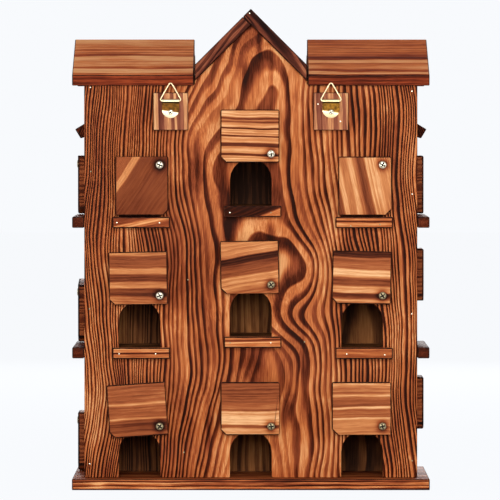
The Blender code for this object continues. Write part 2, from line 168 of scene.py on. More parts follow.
world = bpy.data.worlds.new("studio_room")
scene.world = world
world.use_nodes = True
tree = world.node_tree
tree.nodes.clear()
path = add(tree, "LightPath")
shown = add(tree, "Math", {"operation": "MAXIMUM"},
            {0: path.outputs["Is Camera Ray"], 1: path.outputs["Is Glossy Ray"]})
shown = add(tree, "Math", {"operation": "MAXIMUM"},
            {0: shown.outputs[0], 1: path.outputs["Is Transmission Ray"]})
room = add(tree, "Background", inputs={"Color": linear("FFFFFF"), "Strength": 0.22})
backdrop = add(tree, "Background", inputs={"Color": linear(BACKGROUND), "Strength": 1.0})
mixed = add(tree, "MixShader", inputs={0: shown.outputs[0], 1: room.outputs[0], 2: backdrop.outputs[0]})
add(tree, "OutputWorld", inputs={"Surface": mixed.outputs[0]})

LAMPS = (
    # name, place in m, width in m, watts
    ("softbox", (0.0, -3.1, 0.85), 1.2, 66),
    ("side_fill_left", (-2.4, -1.6, 0.7), 1.2, 9),
    ("side_fill_right", (2.4, -1.6, 0.7), 1.2, 9),
    ("back_fill", (0.3, 3.2, 1.3), 1.6, 40),
)
HOUSE_MIDDLE = Vector((0, 0, 0.26))
for name, place, size, power in LAMPS:
    lamp_data = bpy.data.lights.new(name, "AREA")
    lamp_data.size = size
    lamp_data.energy = power
    lamp = bpy.data.objects.new(name, lamp_data)
    lamp.location = place
    aim = HOUSE_MIDDLE - Vector(place)
    lamp.rotation_euler = aim.to_track_quat("-Z", "Y").to_euler()
    scene.collection.objects.link(lamp)
print("lamps:", len(LAMPS))

# %% [markdown]
# ## Torched pine
#
# Pine grows in rings: a wide soft summer band and a thin hard winter line, about 3 to 6 mm apart in these
# boards. A board is a slice through those rings. Where the slice touches a ring sideways it shows broad
# flames, and where it crosses them square it shows narrow stripes. So the grain here is a solid block of
# rings about a log's centre line, and each board's material says where that line runs, leaning a little
# so that flames close. The torch then burns the winter wood dark brown and leaves tan between, and
# brushing lowers the soft wood, which the bump shows. The finish is a thin satin oil.


# %% The torched pine material
SIDE_FROM, SIDE_TO = 0.06, 0.12  # m from the middle, where side_burn begins and is full
TORCHED = ("E9A76C", "C36D39", "8B4021", "4E1B07", "260B02")


def hill(tree, log, rotation, pith, spot):
    """A soft hill round a spot: x, y, z in mm, then its width across and length along the grain."""
    x, y, z, width, length = spot
    centre = rotation @ (Vector((x, y, z)) - Vector(pith))
    near = add(tree, "VectorMath", {"operation": "SUBTRACT"}, {0: log, 1: centre}).outputs[0]
    near = add(tree, "VectorMath", {"operation": "MULTIPLY"},
               {0: near, 1: (1 / width, 1 / width, 1 / length)}).outputs[0]
    near = add(tree, "VectorMath", {"operation": "DOT_PRODUCT"}, {0: near, 1: near}).outputs["Value"]
    near = add(tree, "Math", {"operation": "MULTIPLY"}, {0: near, 1: -1.0}).outputs[0]
    return add(tree, "Math", {"operation": "EXPONENT"}, {0: near}).outputs[0]


def torched_pine(name, pith, turn=(0, 0, 0), ring=4.2, wave=7, wave_size=(60, 150), dark=0.75,
                 cloud=0.35, base=0.08, colours=TORCHED, bumps=(), burns=(), bands=(), middle=None,
                 seed=0.0, satin=0.46, varied=3.2, faint=0.45, side_burn=0.0, fibres=0.15, outer=None):
    """Growth rings about a log line. pith is a point on the line in mm, and turn its direction in
    degrees. Each bump lifts the rings round a spot by a height in mm, and each burn darkens a spot.
    Each band darkens the wood between two distances in mm across the grain from the middle. faint is
    the least darkness of a year's line, and side_burn draws all lines near the sides to one darkness.
    varied is how far good and bad years shift the rings. With outer, a radius in mm, rings get thinner
    away from the pith, and ring is their width at that radius."""
    material, tree = empty_material(name)
    euler = Euler([math.radians(angle) for angle in turn], "XYZ")
    rotation = euler.to_matrix()
    start = -(rotation @ Vector(pith))
    place = add(tree, "TexCoord").outputs["Object"]
    log = add(tree, "Mapping", inputs={"Vector": place, "Location": start, "Rotation": euler,
                                       "Scale": (1000, 1000, 1000)}).outputs[0]

    # slow waves in the trunk bend every ring
    across, along = wave_size
    slow = add(tree, "VectorMath", {"operation": "MULTIPLY"},
               {0: log, 1: (1 / across, 1 / across, 1 / along)}).outputs[0]
    slow = add(tree, "VectorMath", {"operation": "ADD"}, {0: slow, 1: (seed, seed * 0.7, seed * 0.3)})
    slow = add(tree, "TexNoise", inputs={"Vector": slow.outputs[0], "Scale": 1.0, "Detail": 2.0,
                                         "Roughness": 0.45}).outputs["Color"]
    sway = add(tree, "VectorMath", {"operation": "SUBTRACT"}, {0: slow, 1: (0.5, 0.5, 0.5)}).outputs[0]
    sway = add(tree, "VectorMath", {"operation": "MULTIPLY"}, {0: sway, 1: (wave * 2, wave * 2, 0)})
    bent = add(tree, "VectorMath", {"operation": "ADD"}, {0: log, 1: sway.outputs[0]}).outputs[0]
    flat = add(tree, "VectorMath", {"operation": "MULTIPLY"}, {0: bent, 1: (1, 1, 0)}).outputs[0]
    radius = add(tree, "VectorMath", {"operation": "LENGTH"}, {0: flat}).outputs["Value"]
    for *spot, height in bumps:
        radius = add(tree, "Math", {"operation": "MULTIPLY_ADD"},
                     {0: hill(tree, log, rotation, pith, spot), 1: height, 2: radius}).outputs[0]

    # an old tree adds thinner rings, and good and bad years make them wider or narrower
    if outer:
        radius = add(tree, "Math", {"operation": "POWER"}, {0: radius, 1: 1.5}).outputs[0]
        radius = add(tree, "Math", {"operation": "MULTIPLY"},
                     {0: radius, 1: 1 / (1.5 * outer ** 0.5)}).outputs[0]
    years = add(tree, "Math", {"operation": "MULTIPLY"}, {0: radius, 1: 1 / (ring * 4)}).outputs[0]
    years = add(tree, "Math", {"operation": "ADD"}, {0: years, 1: seed}).outputs[0]
    years = add(tree, "TexNoise", {"noise_dimensions": "1D"},
                {"W": years, "Scale": 1.0, "Detail": 1.0}).outputs[0]
    count = add(tree, "Math", {"operation": "MULTIPLY_ADD"},
                {0: radius, 1: 1 / ring, 2: seed * 3.1}).outputs[0]
    count = add(tree, "Math", {"operation": "MULTIPLY_ADD"}, {0: years, 1: varied, 2: count}).outputs[0]
    part = add(tree, "Math", {"operation": "FRACT"}, {0: count}).outputs[0]
    winter = add(tree, "ValToRGB", inputs={0: part})
    winter.color_ramp.interpolation = "EASE"
    for position, value in ((0.34, 0.04), (0.6, 0.8), (0.74, 1.0), (0.9, 0.95)):
        winter.color_ramp.elements.new(position).color = (value, value, value, 1)
    winter.color_ramp.elements[-1].color = (0, 0, 0, 1)
    number = add(tree, "Math", {"operation": "FLOOR"}, {0: count}).outputs[0]
    year = add(tree, "TexWhiteNoise", {"noise_dimensions": "1D"}, {"W": number}).outputs["Value"]
    year = add(tree, "MapRange", inputs={0: year, 3: faint, 4: 1.0}).outputs[0]

    # the flame lingers here and there, in spots about 4 cm wide and 11 cm long
    burnt = add(tree, "VectorMath", {"operation": "MULTIPLY"}, {0: log, 1: (1 / 38, 1 / 38, 1 / 110)})
    burnt = add(tree, "VectorMath", {"operation": "ADD"}, {0: burnt.outputs[0], 1: (seed, 9.0, seed)})
    burnt = add(tree, "TexNoise", inputs={"Vector": burnt.outputs[0], "Scale": 1.0, "Detail": 3.0,
                                          "Roughness": 0.6}).outputs[0]
    burnt = add(tree, "MapRange", inputs={0: burnt, 1: 0.34, 2: 0.68}).outputs[0]
    if side_burn:
        off = add(tree, "SeparateXYZ", inputs={0: place}).outputs["X"]
        off = add(tree, "Math", {"operation": "ABSOLUTE"}, {0: off}).outputs[0]
        off = add(tree, "MapRange", {"interpolation_type": "SMOOTHSTEP"},
                  {0: off, 1: SIDE_FROM, 2: SIDE_TO}).outputs[0]
        year = add(tree, "Mix", {"data_type": "FLOAT"}, {0: off, 2: year, 3: side_burn}).outputs[0]
    line = add(tree, "Math", {"operation": "MULTIPLY"}, {0: winter.outputs[0], 1: year}).outputs[0]
    heat = add(tree, "MapRange", inputs={0: burnt, 3: 0.62 * dark, 4: 1.25 * dark}).outputs[0]
    line = add(tree, "Math", {"operation": "MULTIPLY"}, {0: line, 1: heat}).outputs[0]
    depth = add(tree, "Math", {"operation": "MULTIPLY_ADD"}, {0: burnt, 1: cloud, 2: line}).outputs[0]

    # fibres are finer than a pixel in the real wood, so they are drawn about 0.9 mm wide
    fibre = add(tree, "VectorMath", {"operation": "MULTIPLY"},
                {0: bent, 1: (1 / 0.9, 1 / 0.9, 1 / 26)}).outputs[0]
    fibre = add(tree, "TexNoise", inputs={"Vector": fibre, "Scale": 1.0, "Detail": 3.0,
                                          "Roughness": 0.65}).outputs[0]
    streak = add(tree, "MapRange", inputs={0: fibre, 1: 0.3, 2: 0.7, 3: base - fibres, 4: base + fibres})
    depth = add(tree, "Math", {"operation": "ADD"}, {0: depth, 1: streak.outputs[0]}).outputs[0]
    for *spot, amount in burns:
        depth = add(tree, "Math", {"operation": "MULTIPLY_ADD"},
                    {0: hill(tree, log, rotation, pith, spot), 1: amount, 2: depth}).outputs[0]
    if bands:
        start = (rotation @ (Vector(middle) - Vector(pith))).x
        across = add(tree, "SeparateXYZ", inputs={0: bent}).outputs["X"]
        across = add(tree, "MapRange", inputs={0: across, 1: start - 50, 2: start + 50}).outputs[0]
        stripes = add(tree, "ValToRGB", inputs={0: across})
        stripes.color_ramp.interpolation = "EASE"
        stops = [(offset, level) for low, high, level in sorted(bands) for offset in (low, high)]
        for number, (offset, level) in enumerate(stops):
            value = (level, level, level, 1)
            if number in (0, len(stops) - 1):
                stop = stripes.color_ramp.elements[0 if number == 0 else -1]
                stop.position = offset / 100 + 0.5
            else:
                stop = stripes.color_ramp.elements.new(offset / 100 + 0.5)
            stop.color = value
        depth = add(tree, "Math", {"operation": "ADD"}, {0: depth, 1: stripes.outputs[0]}).outputs[0]
    tone = add(tree, "ValToRGB", inputs={0: depth})
    tone.color_ramp.elements[0].color = linear(colours[0])
    tone.color_ramp.elements[-1].color = linear(colours[4])
    for position, code in zip((0.22, 0.46, 0.74), colours[1:4]):
        tone.color_ramp.elements.new(position).color = linear(code)

    relief = add(tree, "Math", {"operation": "MULTIPLY_ADD"},
                 {0: fibre, 1: 0.35, 2: winter.outputs[0]}).outputs[0]
    bump = add(tree, "Bump", inputs={"Height": relief, "Strength": 0.6, "Distance": 0.0004}).outputs[0]
    gloss = add(tree, "MapRange", inputs={0: depth, 3: satin, 4: satin + 0.14}).outputs[0]
    shader = add(tree, "BsdfPrincipled", inputs={
        "Base Color": tone.outputs[0], "Roughness": gloss, "IOR": 1.5, "Specular IOR Level": 0.05,
        "Normal": bump})
    add(tree, "OutputMaterial", inputs={"Surface": shader.outputs[0]})
    return material


# %% [markdown]
# ## Charred arris and painted shade
#
# An edge has little wood behind it to carry the heat away, so the torch chars it first. Every eased edge
# of the real boards is a thin dark line, almost black, with a little brown where brushing wore it. The
# same near-black material also covers the sawn sides of the back covers and the reveals of the openings,
# where it is painted shade: the dark outline round each cover and the shade inside each opening.

# %% The charred edge material
char_and_shade, tree = empty_material("arris_char_and_painted_shade")
place = place_in_mm(tree)
worn = add(tree, "TexNoise", inputs={"Vector": place, "Scale": 1 / 7, "Detail": 4.0, "Roughness": 0.6})
tone = add(tree, "ValToRGB", inputs={0: worn.outputs[0]})
tone.color_ramp.elements[0].position = 0.4
tone.color_ramp.elements[0].color = linear("1C0E0B")
tone.color_ramp.elements[1].position = 0.75
tone.color_ramp.elements[1].color = linear("5E301F")
soot = add(tree, "TexNoise", inputs={"Vector": place, "Scale": 1 / 0.8, "Detail": 2.0})
bump = add(tree, "Bump", inputs={"Height": soot.outputs[0], "Strength": 0.4, "Distance": 0.0002})
shader = add(tree, "BsdfPrincipled", inputs={
    "Base Color": tone.outputs[0], "Roughness": 0.7, "Specular IOR Level": 0.05,
    "Normal": bump.outputs[0]})
add(tree, "OutputMaterial", inputs={"Surface": shader.outputs[0]})

# %% [markdown]
# ## Dressing a board
#
# The sawn boards of the frame have sharp corners. The real ones were sanded before torching, so each is
# copied, its loose triangles are merged, flat faces are joined up, and a bevel rounds the arrises by
# one or two millimetres. Plain boxes are made afresh. The bevel's new faces take the charred material,
# which on the covers is also painted shade for their dark outline, and the new piece then stands for
# the board.


# %% Board helpers
NEAR = 0.0001  # m, closer than this counts as on the face


def select_only(piece):
    """Select one piece and make it active."""
    bpy.ops.object.select_all(action="DESELECT")
    piece.select_set(True)
    bpy.context.view_layer.objects.active = piece


def copied(node, name):
    """A copy of a CAD node with its own merged mesh."""
    source = frame["nodes"][node]
    piece = bpy.data.objects.new(name, source.data.copy())
    scene.collection.objects.link(piece)
    select_only(piece)
    bpy.ops.object.mode_set(mode="EDIT")
    bpy.ops.mesh.select_all(action="SELECT")
    bpy.ops.mesh.remove_doubles(threshold=0.00001)
    bpy.ops.mesh.dissolve_limited(angle_limit=math.radians(0.5))
    bpy.ops.object.mode_set(mode="OBJECT")
    return piece


def blank(node, name):
    """A fresh plank the size of a CAD board."""
    low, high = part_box(node)
    bpy.ops.object.select_all(action="DESELECT")
    bpy.ops.mesh.primitive_cube_add(size=1, location=(low + high) / 2)
    piece = bpy.context.object
    piece.name = name
    piece.scale = high - low
    bpy.ops.object.transform_apply(location=True, rotation=True, scale=True)
    return piece


def ease(piece, wood, width=0.0009, segments=2, face=None, dark_rim=True):
    """Round the sharp arrises and char them. With face, an axis, what looks away from that axis takes the
    dark material too, as painted shade: the sawn sides and the reveals of openings; the outer rim can be
    left out."""
    piece.data.materials.clear()
    piece.data.materials.append(wood)
    piece.data.materials.append(char_and_shade)
    select_only(piece)
    bevel = piece.modifiers.new("arris", "BEVEL")
    bevel.width = width
    bevel.segments = segments
    bevel.limit_method = "ANGLE"
    bevel.angle_limit = math.radians(28)
    bevel.use_clamp_overlap = False
    bevel.material = 1
    bpy.ops.object.modifier_apply(modifier="arris")
    if face is not None:
        low, high = Vector(piece.bound_box[0]), Vector(piece.bound_box[6])
        # sawn sides and reveals take the near-black material, painted shade for outlines and the insides of
        # openings
        for polygon in piece.data.polygons:
            centre = polygon.center
            rim = any(min(centre[k] - low[k], high[k] - centre[k]) < NEAR
                      for k in range(3) if k != face)
            sawn = abs(polygon.normal[face]) < 0.9 and (dark_rim or not rim)
            polygon.material_index = 1 if sawn else 0
    bpy.ops.object.shade_smooth_by_angle(angle=math.radians(25))
    return piece


def body_of(node):
    """The body of the frame that a board belongs to."""
    return frame["nodes"][node]["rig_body"]


def dress(node, wood, fresh=False, width=0.0009, segments=2, face=None):
    """Copy a board, or make it afresh, ease it and let it stand for the CAD board."""
    name = node + "_dressed"
    piece = blank(node, name) if fresh else copied(node, name)
    ease(piece, wood, width, segments, face)
    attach(piece, body_of(node))
    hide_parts(node)
    return piece


# %% [markdown]
# ## The back panel
#
# The whole face of the house is one glued-up panel of flat-sawn pine. In the middle the saw ran close to
# the rings, so there are broad flowing flames, and towards the sides the rings stand square to the face
# and become close upright stripes. The panel carries no screws of its own here: their heads in the frame
# are cut away and modelled in steel later.


# %% Panel without the frame's screw heads
def without_screws(piece, axis, face, outward):
    """Delete what stands out of a wall, then close the cut."""
    select_only(piece)
    bpy.ops.object.mode_set(mode="EDIT")
    bpy.ops.mesh.select_all(action="DESELECT")
    bpy.ops.object.mode_set(mode="OBJECT")
    for vertex in piece.data.vertices:
        vertex.select = (vertex.co[axis] - face) * outward > NEAR
    bpy.ops.object.mode_set(mode="EDIT")
    bpy.ops.mesh.delete(type="VERT")
    bpy.ops.mesh.select_all(action="DESELECT")
    bpy.ops.mesh.select_mode(type="EDGE")
    bpy.ops.mesh.select_non_manifold(extend=False)
    bpy.ops.mesh.edge_face_add()
    bpy.ops.mesh.select_mode(type="VERT")
    bpy.ops.mesh.select_all(action="SELECT")
    bpy.ops.mesh.dissolve_limited(angle_limit=math.radians(0.5))
    bpy.ops.object.mode_set(mode="OBJECT")


PANEL_BUMPS = (
    # x, y, z, width, length, height in mm
    (-22, -105, 457, 7, 14, 1.3), (-21, -105, 426, 7, 14, 1.3),
    (-72, -105, 385, 52, 95, -16), (-60, -105, 140, 50, 90, 5),
    (56, -105, 247, 30, 32, -6), (44, -105, 186, 30, 26, 7), (-165, -105, 95, 60, 120, 13),
)
PANEL_BURNS = (
    # x, y, z, width, length in mm, amount
    (9, -105, 486, 3, 28, 0.5), (-2, -105, 134, 16, 17, 0.35), (57, -105, 122, 3, 55, 0.5),
    (-26, -105, 281, 4, 12, 0.45), (22, -105, 279, 4, 12, 0.45), (0, -105, 280, 15, 11, -0.1),
    (-58, -105, 352, 6, 30, 0.35), (-46, -105, 62, 3.5, 32, 0.45), (39, -105, 86, 3.5, 20, 0.4),
    (-165, -105, 275, 14, 34, 0.2), (-62, -105, 240, 30, 150, 0.1), (22, -105, 440, 3, 40, 0.3),
    (-128, -105, 410, 40, 36, 0.22), (130, -105, 415, 45, 40, 0.08),
    (146, -105, 412, 9, 16, -0.25), (-90, -105, 250, 16, 60, 0.14), (19, -105, 463, 14, 17, -0.34),
    (24, -105, 433, 8, 13, -0.24), (46, -105, 246, 13, 20, -0.32), (-6, -105, 452, 3.5, 13, 0.5),
    (-165, -105, 345, 22, 50, 0.12),
)
panel_pine = torched_pine(
    "torched_pine_panel", pith=(13, 10, 240), turn=(3.2, 0, 0), ring=3.1, outer=150, wave=11,
    wave_size=(90, 150), dark=1.0, cloud=0.34, base=0.06, seed=2.4, varied=1.6, faint=0.06,
    side_burn=0.8, bumps=PANEL_BUMPS, burns=PANEL_BURNS)
back_panel = copied("back_panel", "back_panel_dressed")
without_screws(back_panel, axis=1, face=-WALL_FACE, outward=-1)
ease(back_panel, panel_pine, width=0.0008, face=1, dark_rim=False)
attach(back_panel, "house")
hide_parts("back_panel")
print("panel faces:", len(back_panel.data.polygons))

# %% [markdown]
# ## Side walls and front panel
#
# The side walls are the same pine with the grain upright. The photograph doesn't show the front, so it
# gets the same boards with a different slice of the log.

# %% Side walls and front
wall_pine = {
    "left": torched_pine("torched_pine_left_wall", pith=(-160, 20, 200), turn=(0, 2, 0), ring=4.4,
                         wave=12, wave_size=(80, 180), dark=0.95, cloud=0.3, seed=5.2),
    "right": torched_pine("torched_pine_right_wall", pith=(160, -10, 260), turn=(0, -2.5, 0), ring=4.4,
                          wave=12, wave_size=(80, 180), dark=0.95, cloud=0.3, seed=7.9),
}
for side, outward in (("left", -1), ("right", 1)):
    wall = copied("side_wall_" + side, "side_wall_" + side + "_dressed")
    without_screws(wall, axis=0, face=outward * SIDE_FACE, outward=outward)
    ease(wall, wall_pine[side], width=0.0008, face=0, dark_rim=False)
    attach(wall, "house")
    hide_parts("side_wall_" + side)
front_pine = torched_pine("torched_pine_front", pith=(-20, 62, 240), turn=(-2, 1, 0), ring=4.3, wave=14,
                          wave_size=(90, 190), dark=0.95, cloud=0.25, seed=11.3)
dress("front_panel", front_pine, width=0.0008)

# %% [markdown]
# ## Roof boards and base
#
# The wing roofs are planks with the grain along the ridge, more orange than the panel and with only a
# few dark lines. Their palette is lighter than the wood itself, painted light for the light that falls on
# their sloping tops. The gable boards show their end grain to us, a darker red-brown. The base is a wide
# plank whose long edge faces us.

# %% Roofs and base
# the wing roofs' palette, made lighter as painted light on their sloping tops
ROOF_WITH_PAINTED_LIGHT = ("FFB478", "E27C42", "AC4C28", "6C2A18", "36160E")
END_GRAIN = ("A86848", "844630", "602E20", "3E1D16", "1E0F0D")
ROOF_MIDDLE = 466  # mm, the middle of the wing roofs' height
ROOF_BURNS = {
    # x, y, z, width, length in mm, amount
    "left": ((-172, -130, 478, 14, 8, 0.2), (-92, -130, 478, 8, 26, 0.14),
             (-110, -130, 466, 3, 40, 0.16)),
    "right": ((82, -130, 470, 14, 16, 0.16), (168, -130, 468, 12, 22, 0.2),
              (130, -130, 462, 3, 36, -0.16)),
}
ROOF_BANDS = {
    # heights in mm above and below ROOF_MIDDLE, darkest 1
    "left": ((-26, -17, 0.7), (-15.5, -14.5, 0.3), (-13, -10, 0.02), (-8.8, -7.8, 0.55), (-6.5, 0, 0.22),
             (2, 4, 0.0), (5, 6, 0.5), (8, 17, 0.24), (19, 24, 0.12)),
    "right": ((-26, -17, 0.74), (-15, -13.5, 0.06), (-12, -11, 0.55), (-9, -3.5, 0.3), (-2, 0, 0.02),
              (2, 5, 0.6), (8, 24, 0.36)),
}
for side, seed in (("left", 1.3), ("right", 4.6)):
    for slope, depth in (("near", -130), ("far", 130)):
        wood = torched_pine(
            "torched_pine_wing_roof_%s_%s" % (side, slope), pith=(0, depth * 1.4, 520), turn=(0, 90, 0),
            ring=6, wave=3.5, wave_size=(60, 90), dark=0.26, cloud=0.2, base=-0.2, satin=0.75, colours=ROOF_WITH_PAINTED_LIGHT,
            bands=ROOF_BANDS[side], middle=(0, depth, ROOF_MIDDLE), seed=seed + depth,
            burns=ROOF_BURNS[side])
        dress("wing_roof_%s_%s" % (side, slope), wood)
for side, lean, seed in (("left", -40, 3.1), ("right", 40, 6.4)):
    wood = torched_pine("torched_pine_gable_" + side, pith=(0, -60, 560), turn=(0, lean, 0), ring=2.6,
                        wave=3, wave_size=(20, 60), dark=0.75, cloud=0.5, base=0.06, colours=END_GRAIN,
                        seed=seed, satin=0.7)
    dress("gable_roof_" + side, wood)
base_pine = torched_pine(
    "torched_pine_base", pith=(0, -80, -30), turn=(0, 90, 0), ring=4, wave=2.2, wave_size=(30, 90),
    dark=0.35, cloud=0.35, base=-0.02, seed=8.8, middle=(0, -130, 6),
    bands=((-6, -5, 0.55), (-4, -2.6, 0.1), (-1.8, -1.2, 0.65), (-0.2, 1.8, 0.06), (2.6, 3.2, 0.7),
           (4.2, 6, 0.2)),
    burns=((-166, -130, 6, 4, 8, -0.35),))
dress("base_board", base_pine, fresh=True)

# %% [markdown]
# ## Ledges and drip strips
#
# Each ledge is an offcut nailed under an opening. No two on the back have the same figure: some are half
# dark, others tan with a thin dark line. The side ledges are plain and dark.

# %% Ledges
LEDGES = {
    # turn about Y, then bands across the grain in mm from the middle
    "back_left_top": (103, ((-20, -3, 0.3), (-1.5, 1.5, 0.02), (3, 20, 0.4))),
    "back_centre_top": (112, ((-30, -9, 0.1), (-6, 30, 0.85))),
    "back_right_top": (90, ((-8, -0.2, 0.08), (0.8, 2.0, 0.62), (3, 8, 0.1))),
    "back_left_mid": (90, ((-8, -1.4, 0.08), (-0.5, 0.3, 0.75), (1.3, 8, 0.06))),
    "back_centre_mid": (91, ((-8, 0.6, -0.2), (1.8, 2.8, 0.5), (4, 8, -0.16))),
    "back_right_mid": (90, ((-8, 8, 0.16), )),
}
for number, node in enumerate(sorted(n for n in frame["nodes"] if n.startswith("ledge_"))):
    low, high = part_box(node)
    middle = (low + high) * 500
    lean, bands = LEDGES.get(node.removeprefix("ledge_"), (None, ((-20, 20, 0.62), )))
    turn = (0, lean, 0) if lean else (90, 0, 0)
    wood = torched_pine("torched_pine_" + node, pith=(middle.x, middle.y + 9, middle.z - 40), turn=turn,
                        ring=5, wave=1.2, wave_size=(30, 60), dark=0.2, cloud=0.15, base=0,
                        seed=number * 1.7, bands=bands, middle=(middle.x, low.y * 1000, middle.z))
    dress(node, wood, fresh=True, width=0.0013, segments=3)
strip_pine = torched_pine("torched_pine_drip_strip", pith=(0, 0, 300), turn=(90, 0, 0), ring=3.5,
                          dark=0.8, cloud=0.5, base=0.45, seed=2.2)
for side in ("left", "right"):
    dress("awning_" + side, strip_pine)

# %% [markdown]
# ## Covers
#
# Fifteen little planks close the openings. The nine on the back were cut from different scraps, so each
# has its own figure of level stripes or slanted bands, set one by one. The side covers are plain.

# %% Covers
COVER = ("F6C08A", "CF854F", "A2562F", "662C16", "2E1208")
LOOKS = {
    # turn about Y, base tone, then bands across the grain in mm, above or right of the middle
    "back_left_top": (-34, 0.2, ((-45, -27, 0.32), (-25, -20, 0.02), (-18, 45, 0.42))),
    "back_centre_top": (88, 0.02, ((-30, -22.5, 0.1), (-20.8, -19.6, 0.7), (-18, -12.5, 0.1),
                             (-11, -8.5, 0.72), (-7, -1.5, 0.06), (-0.4, 0.4, 0.7), (1.5, 7, 0.04),
                             (8.1, 8.7, 0.62), (10, 14, 0.04), (15, 15.6, 0.4), (16.5, 17.5, 0.2),
                             (18.6, 19.4, 0.6), (21, 30, 0.02))),
    "back_right_top": (12, 0.08, ((-31, -28, 0.5), (-26, -23, 0.04), (-21, -15, 0.26), (-13, -9, 0.08),
                            (-7, -5.5, 0.24), (-2, 3, 0.5), (6, 17, 0.04), (20, 30, 0.14))),
    "back_left_mid": (90, 0.09, ((-29, -22, 0.18), (-18, -13, 0.5), (-10, -6, 0.08), (-3, 3, 0.56),
                           (5.5, 9, 0.08), (13, 24, 0.44), (26, 29, 0.06))),
    "back_centre_mid": (100, 0.05, ((-30, -24, 0.3), (-20, -9, 0.08), (-5, 4, 0.46), (6.5, 12, 0.86),
                              (14, 30, 0.2))),
    "back_right_mid": (88, 0.07, ((-30, -24, 0.06), (-21, -18, 0.58), (-16, -11.5, 0.02), (-7, -1, 0.5),
                            (1.5, 8, 0.0), (11, 21, 0.36), (24, 30, 0.8))),
    "back_left_low": (94, 0.12, ((-30, -25, 0.3), (-21, -12, 0.42), (-9.5, -8.8, 0.06), (-7, 5, 0.32),
                           (6.7, 7.4, 0.06), (9, 30, 0.3))),
    "back_centre_low": (90, 0.04, ((-30, -22.5, 0.1), (-20.5, -19, 0.46), (-17, -4.5, 0.02), (-2, 5, 0.32),
                             (8, 30, 0.44))),
    "back_right_low": (91, 0.05, ((-30, -14, 0.2), (-12.5, -11.5, 0.04), (-9, -1.5, 0.34), (0.6, 1.4, 0.02),
                            (3, 9, 0.42), (12, 13, 0.22), (14, 15, 0.02), (17, 24, 0.2), (26, 30, 0.0))),
}
for node in sorted(n for n in frame["nodes"] if n.startswith("cover_")):
    low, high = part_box(node)
    middle = (low + high) * 500
    label = node.removeprefix("cover_")
    pivot = Vector(joints[node]["pos_m"]) * 1000
    if label in LOOKS:
        lean, base, bands = LOOKS[label]
        turn, face, dark = (0, lean, 0), 1, 0.06 if label == "back_left_top" else 0.18
        pith = (middle.x, middle.y + 14, middle.z - 90)
        pivot.y = middle.y = low.y * 1000
    else:
        bands, base, turn, face, dark = ((-40, 40, 0.44), ), 0, (90, 0, 0), None, 0.4
        pith = (middle.x, middle.y + 15, middle.z + 40)
        pivot.x = low.x * 1000 if middle.x < 0 else high.x * 1000
    # the last spot darkens the wood round each pivot screw's head, most under the screw
    wood = torched_pine("torched_pine_" + node, pith=pith, turn=turn, ring=4.6, wave=2.4,
                        wave_size=(24, 50), dark=dark, cloud=0.14, base=base - 0.02, colours=COVER,
                        seed=len(label) * 1.3 + middle.z, bands=bands, middle=middle,
                        burns=((*pivot, 5.6, 5.6, 0.85), ),
                        fibres=0.04 if label == "back_left_top" else 0.1)
    dress(node, wood, width=0.0018, segments=4, face=face)

# %% [markdown]
# ## Inside
#
# The rooms are lined with the plain inner boards. They are only seen through the openings, in deep
# shade, as brown wood with upright grain, and behind the top centre opening a dark spot is painted in as
# shade. The frame's own boards are right and take a new finish.

# %% Inner boards
INNER = ("C98F58", "A86C3C", "7C4A28", "502E1B", "2E1B12")
# the burn here is painted shade: it darkens the inner boards seen through the top centre opening
inner_pine = torched_pine("inner_pine_with_painted_shade", pith=(150, 260, 240), ring=3.2, wave=5,
                          dark=0.55, cloud=0.4, base=0.22, colours=INNER, seed=12.7, satin=0.6,
                          burns=((0, 18, 335, 40, 45, 0.6), ))
for node, board in frame["nodes"].items():
    if node.startswith(("divider_", "partition_", "floor_")):
        board.data.materials.clear()
        board.data.materials.append(inner_pine)

# %% [markdown]
# ## Steel and brass
#
# The screws and brads are zinc-plated steel, soft-bright and slightly warm. The hanger straps are
# stamped from brass sheet. Their folded upper part is painted dark brown, a painted shade where the brass
# reflects nothing bright, and the round foot and the rolled fold are painted pale, a painted reflection
# of the big light. The two straps differ a little in tone, as they do in the photograph.


# %% Metal materials
FOLD_HIGHLIGHT_FROM, FOLD_HIGHLIGHT_TO = 420.6, 421.6  # mm, where a painted highlight brightens the rolled knuckle
FOOT_SLOPE = 0.15  # the edge of the painted reflection on the foot runs aslant


